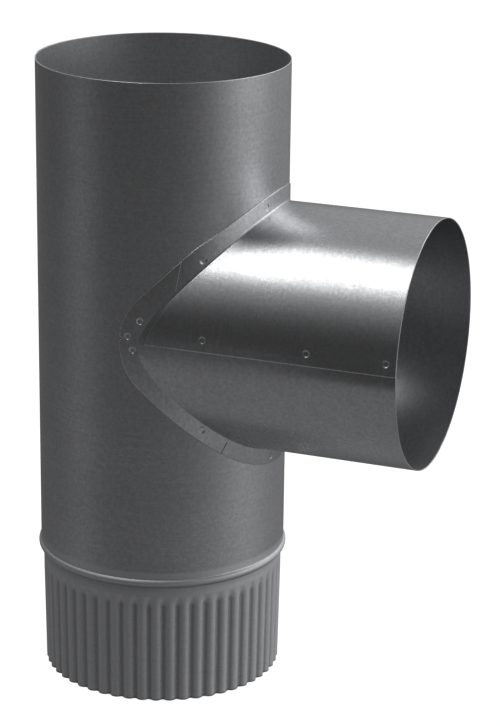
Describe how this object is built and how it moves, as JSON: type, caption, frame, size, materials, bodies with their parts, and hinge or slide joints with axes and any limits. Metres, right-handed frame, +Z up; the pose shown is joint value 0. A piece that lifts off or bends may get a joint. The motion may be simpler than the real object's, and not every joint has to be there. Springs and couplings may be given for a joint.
{
  "type": "duct tee",
  "caption": "Galvanised sheet duct tee: upright pipe with plain end, bead and crimped end, and an equal side branch whose saddle flange is spot-welded over the pipe wall.",
  "frame": {"origin": "centre of the crimped end's rim, on the run's axis", "axes": "+Z up the run towards its plain end, +X along the branch towards its mouth"},
  "size_m": [0.2536, 0.1564, 0.388],
  "materials": {
    "galvanised_sheet": "bare galvanised sheet with a soft sheen"
  },
  "bodies": {
    "root": {"run_pipe": "galvanised_sheet", "branch_collar": "galvanised_sheet"}
  },
  "joints": []
}
